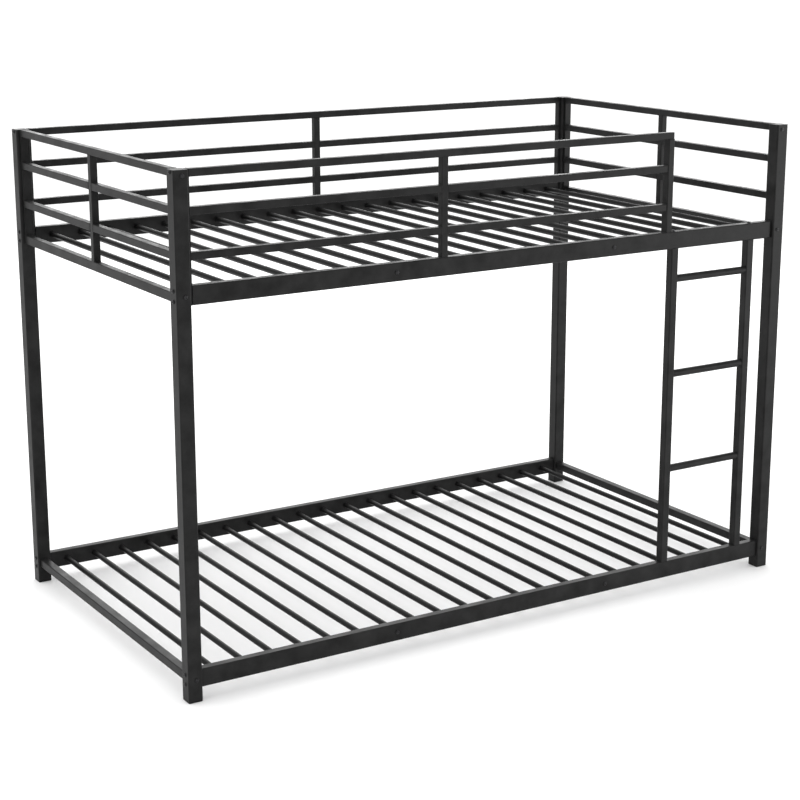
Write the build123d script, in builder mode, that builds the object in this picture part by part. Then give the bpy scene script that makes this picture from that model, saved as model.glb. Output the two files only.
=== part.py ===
"""Twin-over-twin steel bunk bed with a bolted-in ladder.

Millimetres, +Z up, +X along the bed, the ladder on the -Y side.
The origin is on the floor, in the middle of the bed.
Every tube, strip, plug and bolt is a piece of its own and is written as its own node.
"""
import os
from typing import NamedTuple

from build123d import *


class Section(NamedTuple):
    """Outer sides of a square or oblong tube, its wall and its corner radius."""

    wide: float
    high: float
    wall: float
    corner: float


# Overall size, over the posts
LENGTH = 1985.0
WIDTH = 1095.0
HEIGHT = 1373.5

# Tube sections: wide is across the tube, high is its second side
POST = Section(40.0, 40.0, 1.5, 4.0)
SIDE_RAIL = Section(25.0, 50.0, 1.2, 3.0)
END_RAIL = Section(25.0, 25.0, 1.2, 3.0)
PANEL_RAIL = Section(20.0, 20.0, 1.0, 2.0)
PANEL_BOTTOM_RAIL = Section(20.0, 25.0, 1.0, 2.0)
GUARD_END_UPRIGHT = Section(20.0, 25.0, 1.0, 2.0)
STILE = Section(25.0, 25.0, 1.2, 3.0)
STRIP_WIDE = 20.0
STRIP_THICK = 7.0

# Round tubes
RUNG_DIAMETER = 22.0
RUNG_WALL = 1.2
SLAT_DIAMETER = 16.0
SLAT_WALL = 0.8

# Heights of the centre lines
LOWER_DECK_Z = 61.0
UPPER_DECK_Z = 1063.0
PANEL_BOTTOM_RAIL_Z = 1055.5
THIRD_RAIL_Z = 1159.5
SECOND_RAIL_Z = 1270.5
TOP_RAIL_Z = HEIGHT - PANEL_RAIL.high / 2

# Front guard and ladder, along X
FRONT_UPRIGHT_X = -208.5
FRONT_END_UPRIGHT_X = 557.5
STILE_X = (583.5, 872.5)
RUNG_Z = (374.0, 664.0, 948.0)

# Slats
SLAT_COUNT = 21
SLAT_PITCH = 89.75
SLAT_REACH = 10.0
TIE_SLATS = (6, 14)

# Bolts and what they screw into
SHANK_RADIUS = 3.0
BOLT_HOLE_RADIUS = 3.3
THREAD_RADIUS = 3.05
HEAD_RADIUS = 5.5
HEAD_THICK = 3.0
HEAD_ROUNDING = 1.4
SOCKET_RADIUS = 2.3
SOCKET_DEEP = 1.8
POST_BOLT_LONG = 60.0
TIE_BOLT_LONG = 18.0
LADDER_BOLT_LONG = 68.0
BOLT_PAIR_GAP = 26.0
PANEL_TOP_BOLT_Z = TOP_RAIL_Z - 4.5
PANEL_BOTTOM_BOLT_Z = 1062.0
PANEL_BOLT_X = 969.0
GUARD_BOLT_Z = TOP_RAIL_Z + 3.5
BLOCK_LONG = 12.0
BLOCK_PLAY = 0.2
TIE_PLUG_LONG = 20.0
STILE_PLUG_LONG = 20.0

# Closed ends
FOOT_THICK = 3.0
CAP_THICK = 1.5
PLUG_DEEP = 16.0
PLUG_WALL = 3.0
PLUG_SLOT = 16.0
END_PLUG_THICK = 1.5

# Worked out from the sizes above
POST_X = (LENGTH - POST.wide) / 2
POST_Y = (WIDTH - POST.high) / 2
BAY_X = POST_X - POST.wide / 2
BAY_Y = POST_Y - POST.high / 2
GUARD_X = BAY_X - STRIP_THICK
PANEL_Y = BAY_Y - STRIP_THICK
UPPER_RAIL_TOP = UPPER_DECK_Z + SIDE_RAIL.high / 2
UPPER_RAIL_UNDER = UPPER_DECK_Z - SIDE_RAIL.high / 2
LOWER_RAIL_TOP = LOWER_DECK_Z + SIDE_RAIL.high / 2
LOWER_RAIL_UNDER = LOWER_DECK_Z - SIDE_RAIL.high / 2
PANEL_BOTTOM_TOP = PANEL_BOTTOM_RAIL_Z + PANEL_BOTTOM_RAIL.high / 2
PANEL_BOTTOM_UNDER = PANEL_BOTTOM_RAIL_Z - PANEL_BOTTOM_RAIL.high / 2
TOP_RAIL_UNDER = TOP_RAIL_Z - PANEL_RAIL.high / 2
RAIL_INNER_Y = POST_Y - SIDE_RAIL.wide / 2
RAIL_OUTER_Y = POST_Y + SIDE_RAIL.wide / 2
FRONT_GUARD_END = FRONT_END_UPRIGHT_X + GUARD_END_UPRIGHT.wide / 2
SLAT_X = [(k - (SLAT_COUNT - 1) / 2) * SLAT_PITCH for k in range(SLAT_COUNT)]
TIE_X = [SLAT_X[k] for k in TIE_SLATS]
RAIL_BOLT_Z = (-BOLT_PAIR_GAP / 2, BOLT_PAIR_GAP / 2)

SIDES = {"front": -1, "back": 1}
ENDS = {"left": -1, "right": 1}
DECKS = {"lower": LOWER_DECK_Z, "upper": UPPER_DECK_Z}
PANEL_RAILS = {"top": TOP_RAIL_Z, "second": SECOND_RAIL_Z, "third": THIRD_RAIL_Z}


def along_x(x, y, z, way=1):
    """Sketch plane that faces along X: its sketch x is Y and its sketch y is Z."""
    return Plane(origin=(x, y, z), x_dir=(0, way, 0), z_dir=(way, 0, 0))


def along_y(x, y, z, way=1):
    """Sketch plane that faces along Y: its sketch x is X and its sketch y is Z."""
    return Plane(origin=(x, y, z), x_dir=(-way, 0, 0), z_dir=(0, way, 0))


def along_z(x, y, z, way=1):
    """Sketch plane that faces along Z."""
    return Plane(origin=(x, y, z), x_dir=(1, 0, 0), z_dir=(0, 0, way))


def tube(plane, long, section):
    """Square or oblong tube that starts on the plane."""
    with BuildPart() as run:
        with BuildSketch(plane):
            RectangleRounded(section.wide, section.high, section.corner)
            RectangleRounded(
                section.wide - 2 * section.wall,
                section.high - 2 * section.wall,
                section.corner - section.wall,
                mode=Mode.SUBTRACT,
            )
        extrude(amount=long)
    return run.part


def round_tube(plane, long, diameter, wall):
    """Round tube that starts on the plane."""
    with BuildPart() as run:
        with BuildSketch(plane):
            Circle(diameter / 2)
            Circle(diameter / 2 - wall, mode=Mode.SUBTRACT)
        extrude(amount=long)
    return run.part


def strip(plane, long, wide, thick):
    """Flat bar that starts on the plane."""
    with BuildPart() as bar:
        with BuildSketch(plane):
            RectangleRounded(wide, thick, 0.8)
        extrude(amount=long)
    return bar.part


def bolt(plane, long):
    """Button-head bolt: the head stands on the plane and the shank goes in behind it."""
    with BuildPart() as screw:
        with BuildSketch(plane):
            Circle(HEAD_RADIUS)
        extrude(amount=HEAD_THICK)
        rim = screw.edges().filter_by(GeomType.CIRCLE)
        fillet(rim.sort_by(Axis(plane.origin, plane.z_dir))[-1], HEAD_ROUNDING)
        with BuildSketch(plane):
            Circle(SHANK_RADIUS)
        extrude(amount=-long)
        with BuildSketch(plane.offset(HEAD_THICK)):
            RegularPolygon(radius=SOCKET_RADIUS, side_count=6)
        extrude(amount=-SOCKET_DEEP, mode=Mode.SUBTRACT)
    return screw.part


def nut_block(plane, section, holes):
    """Threaded block that fills a tube's end: it starts on the plane, behind the tube's mouth."""
    with BuildPart() as block:
        with BuildSketch(plane):
            RectangleRounded(
                section.wide - 2 * section.wall - BLOCK_PLAY,
                section.high - 2 * section.wall - BLOCK_PLAY,
                section.corner - section.wall,
            )
            with Locations(*holes):
                Circle(THREAD_RADIUS, mode=Mode.SUBTRACT)
        extrude(amount=BLOCK_LONG)
    return block.part


def drill(planes, radius, deep):
    """Drill round holes into the piece being made, each from its own plane."""
    for plane in planes:
        with BuildPart() as bit:
            with BuildSketch(plane):
                Circle(radius)
            extrude(amount=deep)
        add(bit.part, mode=Mode.SUBTRACT)


def write(builder, node):
    """Label a finished piece and write its STEP file."""
    builder.part.label = node
    export_step(builder.part, f"parts/{node}.step")


def post_bolt_heights(side, end):
    """Heights of the bolts that go through one post along X."""
    heights = [deck + step for deck in DECKS.values() for step in RAIL_BOLT_Z]
    if side == "back" or end == "left":
        heights.append(GUARD_BOLT_Z)
    return heights


os.makedirs("parts", exist_ok=True)

# Corner posts: plain square tubes, drilled right through for the frame bolts
for side, y_way in SIDES.items():
    for end, x_way in ENDS.items():
        x = x_way * POST_X
        y = y_way * POST_Y
        across = [along_x(x - POST.wide, y, z) for z in post_bolt_heights(side, end)]
        through = [
            along_y(x_way * PANEL_BOLT_X, y - POST.high, z)
            for z in (LOWER_DECK_Z, PANEL_BOTTOM_BOLT_Z, PANEL_TOP_BOLT_Z)
        ]
        with BuildPart() as post:
            add(tube(along_z(x, y, FOOT_THICK), HEIGHT - FOOT_THICK - CAP_THICK, POST))
            drill(across + through, BOLT_HOLE_RADIUS, 2 * POST.wide)
        write(post, f"{side}_{end}_post")

# Foot plugs and top caps: moulded pieces with four corner fingers inside the post
POST_BORE = POST.wide - 2 * POST.wall - BLOCK_PLAY
POST_CORNERS = [(x * POST_X, y * POST_Y) for y in SIDES.values() for x in ENDS.values()]
for node, floor_z, way, thick in (
    ("post_feet", 0.0, 1, FOOT_THICK),
    ("post_caps", HEIGHT, -1, CAP_THICK),
):
    with BuildPart() as plugs:
        with BuildSketch(along_z(0, 0, floor_z, way)):
            with Locations(*[(x, way * y) for x, y in POST_CORNERS]):
                RectangleRounded(POST.wide, POST.high, POST.corner)
        extrude(amount=thick)
        with BuildSketch(along_z(0, 0, floor_z + way * thick, way)):
            with Locations(*[(x, way * y) for x, y in POST_CORNERS]):
                RectangleRounded(POST_BORE, POST_BORE, POST.corner - POST.wall)
                RectangleRounded(POST_BORE - 2 * PLUG_WALL, POST_BORE - 2 * PLUG_WALL, 1, mode=Mode.SUBTRACT)
                Rectangle(POST_BORE, PLUG_SLOT, mode=Mode.SUBTRACT)
                Rectangle(PLUG_SLOT, POST_BORE, mode=Mode.SUBTRACT)
        extrude(amount=PLUG_DEEP)
    write(plugs, node)

# Side rails: a row of holes for the slats in the inner wall, two bolt holes in the outer wall
for deck, z in DECKS.items():
    reach = BAY_X if deck == "lower" else GUARD_X
    for side, y_way in SIDES.items():
        slat_holes = [along_y(x, y_way * (RAIL_INNER_Y - 2), z, y_way) for x in SLAT_X]
        tie_holes = [along_y(x, y_way * (RAIL_OUTER_Y + 2), z, -y_way) for x in TIE_X]
        with BuildPart() as rail:
            add(tube(along_x(-reach, y_way * POST_Y, z), 2 * reach, SIDE_RAIL))
            drill(slat_holes, SLAT_DIAMETER / 2 + 0.2, 6)
            drill(tie_holes, BOLT_HOLE_RADIUS, 6)
            if side == "front":
                foot_z = z - SIDE_RAIL.high
                drill([along_z(x, y_way * POST_Y, foot_z) for x in STILE_X], BOLT_HOLE_RADIUS, 2 * SIDE_RAIL.high)
        write(rail, f"{deck}_{side}_side_rail")

# Lower end rails, straight between the posts
for end, x_way in ENDS.items():
    with BuildPart() as end_rail:
        add(tube(along_y(x_way * POST_X, -BAY_Y, LOWER_DECK_Z), 2 * BAY_Y, END_RAIL))
    write(end_rail, f"lower_{end}_end_rail")

# Upper end panels: four rails and an upright between two flat end strips
for end, x_way in ENDS.items():
    x = x_way * POST_X
    for name, z in PANEL_RAILS.items():
        spans = [(-PANEL_Y, PANEL_Y)]
        if name != "top":
            half = PANEL_RAIL.wide / 2
            spans = [(-PANEL_Y, -half), (half, PANEL_Y)]
        with BuildPart() as panel_rail:
            for start, stop in spans:
                add(tube(along_y(x, start, z), stop - start, PANEL_RAIL))
        write(panel_rail, f"{end}_panel_{name}_rail")
    with BuildPart() as bottom_rail:
        add(tube(along_y(x, -PANEL_Y, PANEL_BOTTOM_RAIL_Z), 2 * PANEL_Y, PANEL_BOTTOM_RAIL))
    write(bottom_rail, f"{end}_panel_bottom_rail")
    with BuildPart() as upright:
        add(tube(along_z(x, 0, PANEL_BOTTOM_TOP), TOP_RAIL_UNDER - PANEL_BOTTOM_TOP, PANEL_RAIL))
    write(upright, f"{end}_panel_upright")
    for side, y_way in SIDES.items():
        y = y_way * (BAY_Y - STRIP_THICK / 2)
        holes = [
            along_y(x_way * PANEL_BOLT_X, y - STRIP_THICK, z)
            for z in (PANEL_BOTTOM_BOLT_Z, PANEL_TOP_BOLT_Z)
        ]
        with BuildPart() as end_strip:
            add(strip(along_z(x, y, PANEL_BOTTOM_UNDER), HEIGHT - PANEL_BOTTOM_UNDER, STRIP_WIDE, STRIP_THICK))
            drill(holes, BOLT_HOLE_RADIUS, 2 * STRIP_THICK)
        write(end_strip, f"{end}_panel_{side}_strip")

# Guards: three rails and their uprights, standing on the upper side rails
GUARDS = {
    "back": {"stop": GUARD_X, "upright": 0.0},
    "front": {"stop": FRONT_END_UPRIGHT_X - GUARD_END_UPRIGHT.wide / 2, "upright": FRONT_UPRIGHT_X},
}
for side, guard in GUARDS.items():
    y = SIDES[side] * POST_Y
    half = PANEL_RAIL.wide / 2
    for name, z in PANEL_RAILS.items():
        spans = [(-GUARD_X, guard["upright"] - half), (guard["upright"] + half, guard["stop"])]
        if name == "top":
            top_stop = FRONT_GUARD_END - END_PLUG_THICK if side == "front" else GUARD_X
            spans = [(-GUARD_X, top_stop)]
        with BuildPart() as guard_rail:
            for start, stop in spans:
                add(tube(along_x(start, y, z), stop - start, PANEL_RAIL))
        write(guard_rail, f"{side}_guard_{name}_rail")
    with BuildPart() as guard_upright:
        add(tube(along_z(guard["upright"], y, UPPER_RAIL_TOP), TOP_RAIL_UNDER - UPPER_RAIL_TOP, PANEL_RAIL))
    write(guard_upright, f"{side}_guard_upright")

with BuildPart() as guard_end_upright:
    add(
        tube(
            along_z(FRONT_END_UPRIGHT_X, -POST_Y, UPPER_RAIL_TOP),
            TOP_RAIL_UNDER - UPPER_RAIL_TOP,
            GUARD_END_UPRIGHT,
        )
    )
write(guard_end_upright, "front_guard_end_upright")

# Moulded plug that closes the free end of the front guard's top rail
with BuildPart() as end_plug:
    with BuildSketch(along_x(FRONT_GUARD_END - END_PLUG_THICK, -POST_Y, TOP_RAIL_Z)):
        RectangleRounded(PANEL_RAIL.wide, PANEL_RAIL.high, PANEL_RAIL.corner)
    extrude(amount=END_PLUG_THICK)
    with BuildSketch(along_x(FRONT_GUARD_END - END_PLUG_THICK, -POST_Y, TOP_RAIL_Z, -1)):
        bore = PANEL_RAIL.wide - 2 * PANEL_RAIL.wall - BLOCK_PLAY
        RectangleRounded(bore, bore, PANEL_RAIL.corner - PANEL_RAIL.wall)
    extrude(amount=PLUG_DEEP)
write(end_plug, "front_guard_end_plug")

# Flat strips between the posts and the guards, and a short one beside the ladder gap
for side, y_way in SIDES.items():
    for end, x_way in ENDS.items():
        short = side == "front" and end == "right"
        stop_z = UPPER_RAIL_TOP if short else HEIGHT
        x = x_way * (BAY_X - STRIP_THICK / 2)
        y = y_way * POST_Y
        heights = [UPPER_DECK_Z + step for step in RAIL_BOLT_Z]
        if not short:
            heights.append(GUARD_BOLT_Z)
        with BuildPart() as guard_strip:
            add(strip(along_z(x, y, UPPER_RAIL_UNDER), stop_z - UPPER_RAIL_UNDER, STRIP_THICK, STRIP_WIDE))
            drill([along_x(x - STRIP_THICK, y, z) for z in heights], BOLT_HOLE_RADIUS, 2 * STRIP_THICK)
        write(guard_strip, f"{side}_{end}_guard_strip")

# Ladder: two stiles between the side rails, and three round rungs
for end, x in zip(ENDS, STILE_X):
    with BuildPart() as stile:
        add(tube(along_z(x, -POST_Y, LOWER_RAIL_TOP), UPPER_RAIL_UNDER - LOWER_RAIL_TOP, STILE))
    write(stile, f"ladder_{end}_stile")
for number, z in enumerate(RUNG_Z, start=1):
    start = STILE_X[0] + STILE.wide / 2
    stop = STILE_X[1] - STILE.wide / 2
    with BuildPart() as rung:
        add(round_tube(along_x(start, -POST_Y, z), stop - start, RUNG_DIAMETER, RUNG_WALL))
    write(rung, f"ladder_rung_{number}")

# Slats: round tubes let into the side rails; two of them tie the rails together
TIE_HALF = RAIL_OUTER_Y - SIDE_RAIL.wall
for deck, z in DECKS.items():
    with BuildPart() as slats:
        for k, x in enumerate(SLAT_X):
            half = TIE_HALF if k in TIE_SLATS else RAIL_INNER_Y + SLAT_REACH
            add(round_tube(along_y(x, -half, z), 2 * half, SLAT_DIAMETER, SLAT_WALL))
    write(slats, f"{deck}_slats")

# Bolts through the posts along X: two to each side rail end, one to each guard top rail end
with BuildPart() as side_rail_bolts:
    for x_way in ENDS.values():
        for y_way in SIDES.values():
            for deck_z in DECKS.values():
                for step in RAIL_BOLT_Z:
                    add(bolt(along_x(x_way * LENGTH / 2, y_way * POST_Y, deck_z + step, x_way), POST_BOLT_LONG))
write(side_rail_bolts, "side_rail_bolts")

GUARD_TOP_ENDS = [(-1, -1), (-1, 1), (1, 1)]
with BuildPart() as guard_bolts:
    for x_way, y_way in GUARD_TOP_ENDS:
        add(bolt(along_x(x_way * LENGTH / 2, y_way * POST_Y, GUARD_BOLT_Z, x_way), POST_BOLT_LONG))
write(guard_bolts, "guard_bolts")

# Bolts through the posts along Y: the end panels and the lower end rails
for node, heights in (
    ("end_panel_bolts", (PANEL_BOTTOM_BOLT_Z, PANEL_TOP_BOLT_Z)),
    ("end_rail_bolts", (LOWER_DECK_Z,)),
):
    with BuildPart() as cross_bolts:
        for x_way in ENDS.values():
            for y_way in SIDES.values():
                for z in heights:
                    add(bolt(along_y(x_way * PANEL_BOLT_X, y_way * WIDTH / 2, z, y_way), POST_BOLT_LONG))
    write(cross_bolts, node)

# Short bolts through the side rails' outer walls into the tie slats
with BuildPart() as tie_bolts:
    for x in TIE_X:
        for y_way in SIDES.values():
            for z in DECKS.values():
                add(bolt(along_y(x, y_way * RAIL_OUTER_Y, z, y_way), TIE_BOLT_LONG))
write(tie_bolts, "tie_slat_bolts")

# Long bolts through the front side rails into the ends of the ladder stiles
with BuildPart() as ladder_bolts:
    for x in STILE_X:
        add(bolt(along_z(x, -POST_Y, UPPER_RAIL_TOP, 1), LADDER_BOLT_LONG))
        add(bolt(along_z(x, -POST_Y, LOWER_RAIL_UNDER, -1), LADDER_BOLT_LONG))
write(ladder_bolts, "ladder_bolts")

# Threaded blocks inside the tube ends
with BuildPart() as side_blocks:
    for deck, z in DECKS.items():
        reach = BAY_X if deck == "lower" else GUARD_X
        for x_way in ENDS.values():
            for y_way in SIDES.values():
                mouth = along_x(x_way * reach, y_way * POST_Y, z, -x_way)
                add(nut_block(mouth, SIDE_RAIL, [(0, step) for step in RAIL_BOLT_Z]))
write(side_blocks, "side_rail_nut_blocks")

with BuildPart() as end_blocks:
    for x_way in ENDS.values():
        for y_way in SIDES.values():
            mouth = along_y(x_way * POST_X, y_way * BAY_Y, LOWER_DECK_Z, -y_way)
            offset_x = x_way * y_way * (PANEL_BOLT_X - POST_X)
            add(nut_block(mouth, END_RAIL, [(offset_x, 0)]))
write(end_blocks, "end_rail_nut_blocks")

with BuildPart() as panel_blocks:
    for x_way, y_way in GUARD_TOP_ENDS:
        mouth = along_x(x_way * GUARD_X, y_way * POST_Y, TOP_RAIL_Z, -x_way)
        add(nut_block(mouth, PANEL_RAIL, [(0, GUARD_BOLT_Z - TOP_RAIL_Z)]))
    for x_way in ENDS.values():
        for y_way in SIDES.values():
            offset_x = x_way * y_way * (PANEL_BOLT_X - POST_X)
            for section, rail_z, bolt_z in (
                (PANEL_RAIL, TOP_RAIL_Z, PANEL_TOP_BOLT_Z),
                (PANEL_BOTTOM_RAIL, PANEL_BOTTOM_RAIL_Z, PANEL_BOTTOM_BOLT_Z),
            ):
                mouth = along_y(x_way * POST_X, y_way * PANEL_Y, rail_z, -y_way)
                add(nut_block(mouth, section, [(offset_x, bolt_z - rail_z)]))
write(panel_blocks, "panel_nut_blocks")

# Threaded plugs in the tie slats and in the ladder stiles
TIE_PLUG_DIAMETER = SLAT_DIAMETER - 2 * SLAT_WALL - BLOCK_PLAY
TIE_PLUG_WALL = TIE_PLUG_DIAMETER / 2 - THREAD_RADIUS
with BuildPart() as tie_plugs:
    for x in TIE_X:
        for y_way in SIDES.values():
            for z in DECKS.values():
                mouth = along_y(x, y_way * TIE_HALF, z, -y_way)
                add(round_tube(mouth, TIE_PLUG_LONG, TIE_PLUG_DIAMETER, TIE_PLUG_WALL))
write(tie_plugs, "tie_slat_plugs")

STILE_BORE = STILE.wide - 2 * STILE.wall - BLOCK_PLAY
with BuildPart() as stile_plugs:
    for z, way in ((UPPER_RAIL_UNDER, -1), (LOWER_RAIL_TOP, 1)):
        with BuildSketch(along_z(0, 0, z, way)):
            with Locations(*[(x, -way * POST_Y) for x in STILE_X]):
                RectangleRounded(STILE_BORE, STILE_BORE, STILE.corner - STILE.wall)
                Circle(THREAD_RADIUS, mode=Mode.SUBTRACT)
        extrude(amount=STILE_PLUG_LONG)
write(stile_plugs, "ladder_stile_plugs")
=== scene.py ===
"""Looks of a black steel bunk bed: finishes, round tubes, weld beads, screws, plugs and studio."""
import logging
import math
from dataclasses import dataclass, field
from enum import Enum
from typing import Any, Callable, Iterable, Sequence

import bmesh
import bpy
from bpy.types import Material, Mesh, Node, NodeSocket, NodeTree, Object
from mathutils import Euler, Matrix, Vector


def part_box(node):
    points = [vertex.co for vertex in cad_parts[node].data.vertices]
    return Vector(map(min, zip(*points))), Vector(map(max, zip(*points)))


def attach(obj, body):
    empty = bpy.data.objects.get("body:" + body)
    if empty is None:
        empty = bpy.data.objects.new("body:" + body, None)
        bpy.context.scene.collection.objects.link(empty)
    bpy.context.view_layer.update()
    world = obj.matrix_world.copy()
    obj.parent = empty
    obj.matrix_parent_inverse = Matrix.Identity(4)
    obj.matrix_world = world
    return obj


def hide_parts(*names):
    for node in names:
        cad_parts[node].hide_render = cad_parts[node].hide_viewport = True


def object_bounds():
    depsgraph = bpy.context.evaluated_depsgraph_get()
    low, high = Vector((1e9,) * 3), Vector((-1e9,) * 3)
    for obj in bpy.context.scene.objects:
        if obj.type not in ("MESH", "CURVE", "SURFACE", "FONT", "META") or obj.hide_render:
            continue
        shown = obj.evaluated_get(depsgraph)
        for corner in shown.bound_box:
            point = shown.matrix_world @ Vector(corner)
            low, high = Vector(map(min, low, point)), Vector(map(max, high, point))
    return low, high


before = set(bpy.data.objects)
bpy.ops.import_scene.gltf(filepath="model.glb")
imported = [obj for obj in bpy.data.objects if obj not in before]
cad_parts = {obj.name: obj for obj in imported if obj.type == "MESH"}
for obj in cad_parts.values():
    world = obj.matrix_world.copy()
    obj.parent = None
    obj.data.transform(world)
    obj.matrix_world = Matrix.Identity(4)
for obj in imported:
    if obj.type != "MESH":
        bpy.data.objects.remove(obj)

CAD_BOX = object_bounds()
ROOT = "root"
MM = 0.001
SAME_PLACE = 0.001 * MM
PLACE_DIGITS = 4
CAD_SLACK = 0.1 * MM
PLUG_CORNER_STEPS = 6
# Edges that turn by more than these stay sharp
TUBE_CREASE = math.radians(40)
LATHE_CREASE = math.radians(35)
BEAD_CREASE = math.radians(75)
# Most of a noise lies between these
NOISE_MIDDLE = (0.3, 0.7)
logging.basicConfig(level=logging.INFO, format="%(name)s: %(message)s")
log = logging.getLogger("bunk_bed")


class Slot(Enum):
    """The record's material slots."""

    STEEL = "black_steel"
    PLASTIC = "moulded_plastic"
    FASTENER = "black_fasteners"
    INSERT = "zinc_inserts"


class Along(Enum):
    """The axis a straight tube runs along."""

    X = 0
    Y = 1
    Z = 2


# ---------------- small helpers


def linear(hex_colour: str) -> tuple[float, float, float, float]:
    """Turn an sRGB hex colour into a linear one.

    Args:
        hex_colour: six hex digits after a hash sign.

    Returns:
        Linear red, green, blue and an alpha of one.
    """
    channels = [int(hex_colour[i:i + 2], 16) / 255 for i in (1, 3, 5)]
    turned = [c / 12.92 if c <= 0.04045 else ((c + 0.055) / 1.055) ** 2.4 for c in channels]
    return (turned[0], turned[1], turned[2], 1.0)


def add_node(
    tree: NodeTree,
    kind: str,
    settings: dict[str, Any] | None = None,
    inputs: dict[Any, Any] | None = None,
) -> Node:
    """Add a node, set its properties, and fill or link its inputs.

    Args:
        tree: the shader or geometry tree.
        kind: the node's type name.
        settings: node properties by name.
        inputs: input values, or output sockets to link from, by input name or number.

    Returns:
        The new node.
    """
    node = tree.nodes.new(kind)
    for name, value in (settings or {}).items():
        setattr(node, name, value)
    feed(tree, node, inputs or {})
    return node


def feed(tree: NodeTree, node: Node, inputs: dict[Any, Any]) -> None:
    """Fill a node's inputs with values, or link them from other nodes' output sockets."""
    for key, value in inputs.items():
        if isinstance(value, NodeSocket):
            tree.links.new(value, node.inputs[key])
        else:
            node.inputs[key].default_value = value


def maths(tree: NodeTree, operation: str, *values: Any) -> NodeSocket:
    """Work out one sum on values or sockets, and give its result."""
    sums = add_node(tree, "ShaderNodeMath", {"operation": operation}, dict(enumerate(values)))
    return sums.outputs[0]


def stored(tree: NodeTree, label: str, kind: str) -> NodeSocket:
    """Read the value that each seed point carries under a label."""
    read = add_node(tree, "GeometryNodeInputNamedAttribute", {"data_type": kind}, {"Name": label})
    return read.outputs[0]


def drawn_number(tree: NodeTree, low: float, high: float, seed: NodeSocket) -> NodeSocket:
    """Random number for each point. The node's float sockets are inputs 2 and 3 and output 1."""
    limits = {2: low, 3: high, "Seed": seed}
    return add_node(tree, "FunctionNodeRandomValue", {"data_type": "FLOAT"}, limits).outputs[1]


def per_metre(feature_mm: float) -> float:
    """Noise scale, in features per metre, for a feature of that size."""
    return 1.0 / (feature_mm * MM)


@dataclass(frozen=True)
class Solid:
    """One separate solid of a CAD node: its box and its corners."""

    low: Vector
    high: Vector
    points: tuple[Vector, ...]

    @property
    def centre(self) -> Vector:
        """Middle of the box."""
        return (self.low + self.high) / 2

    @property
    def size(self) -> Vector:
        """Sides of the box."""
        return self.high - self.low

    @property
    def along(self) -> Along:
        """Axis of the box's longest side."""
        return Along(max(range(3), key=lambda k: self.size[k]))


def solids_of(node: str) -> list[Solid]:
    """Split a CAD node into its separate solids.

    Args:
        node: the node's name.

    Returns:
        The solids, sorted by place.
    """
    work = bmesh.new()
    work.from_mesh(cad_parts[node].data)
    bmesh.ops.remove_doubles(work, verts=work.verts, dist=SAME_PLACE)
    waiting = set(work.verts)
    found = []
    while waiting:
        stack = [waiting.pop()]
        members = []
        while stack:
            vertex = stack.pop()
            members.append(vertex.co.copy())
            for edge in vertex.link_edges:
                other = edge.other_vert(vertex)
                if other in waiting:
                    waiting.remove(other)
                    stack.append(other)
        low = Vector([min(p[k] for p in members) for k in range(3)])
        high = Vector([max(p[k] for p in members) for k in range(3)])
        found.append(Solid(low, high, tuple(members)))
    work.free()
    # Places are rounded to a tenth of a millimetre, so that the order never hangs on a last digit
    return sorted(found, key=lambda s: tuple(round(c, PLACE_DIGITS) for c in s.centre))


def put_in_scene(name: str, data: Any) -> Object:
    """Make an object of a mesh, light or camera, and put it in the scene."""
    thing = bpy.data.objects.new(name, data)
    bpy.context.scene.collection.objects.link(thing)
    return thing


def new_piece(
    mesh: Mesh,
    name: str,
    material: Material,
    slot: Slot,
    replaced: Sequence[str] = (),
) -> Object:
    """Put a finished mesh in the scene as a piece of the bed.

    Args:
        mesh: the piece's mesh, already in place.
        name: the piece's name.
        material: its finish.
        slot: the record's slot that the finish belongs to; not used.
        replaced: CAD nodes that it stands for.

    Returns:
        The new object.
    """
    piece = put_in_scene(name, mesh)
    mesh.name = name
    mesh.materials.clear()
    mesh.materials.append(material)
    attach(piece, ROOT)
    if replaced:
        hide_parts(*replaced)
    log.info("%s: %d faces", name, len(mesh.polygons))
    return piece


def dress(node: str, material: Material, slot: Slot) -> None:
    """Give a CAD node its finish."""
    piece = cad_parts[node]
    piece.data.materials.clear()
    piece.data.materials.append(material)
    log.info("%s: CAD shape, %s", node, material.name)


def grow(
    name: str,
    seed_points: Sequence[Vector],
    seed_edges: Sequence[tuple[int, int]],
    tree: NodeTree,
    inputs: dict[str, Any],
    attributes: dict[str, tuple[str, Sequence[Any]]] | None = None,
) -> Mesh:
    """Run a Geometry Nodes tree on seed points and keep the result as a plain mesh.

    Args:
        name: name for the working object.
        seed_points: places that the tree starts from.
        seed_edges: lines between them.
        tree: the Geometry Nodes tree.
        inputs: the tree's inputs by name.
        attributes: point attributes by name, each with its type and one value per point.

    Returns:
        The mesh that the tree makes.
    """
    seed = bpy.data.meshes.new(name + "_seed")
    seed.from_pydata([tuple(p) for p in seed_points], list(seed_edges), [])
    for label, (kind, values) in (attributes or {}).items():
        layer = seed.attributes.new(label, kind, "POINT")
        for item, value in zip(layer.data, values):
            setattr(item, "vector" if kind == "FLOAT_VECTOR" else "value", value)
    holder = put_in_scene(name + "_holder", seed)
    modifier = holder.modifiers.new("make", "NODES")
    modifier.node_group = tree
    for item in tree.interface.items_tree:
        if item.item_type == "SOCKET" and item.in_out == "INPUT" and item.name in inputs:
            modifier[item.identifier] = inputs[item.name]
    graph = bpy.context.evaluated_depsgraph_get()
    graph.update()
    made = bpy.data.meshes.new_from_object(holder.evaluated_get(graph))
    holder.modifiers.remove(modifier)
    bpy.data.objects.remove(holder)
    bpy.data.meshes.remove(seed)
    return made


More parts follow.
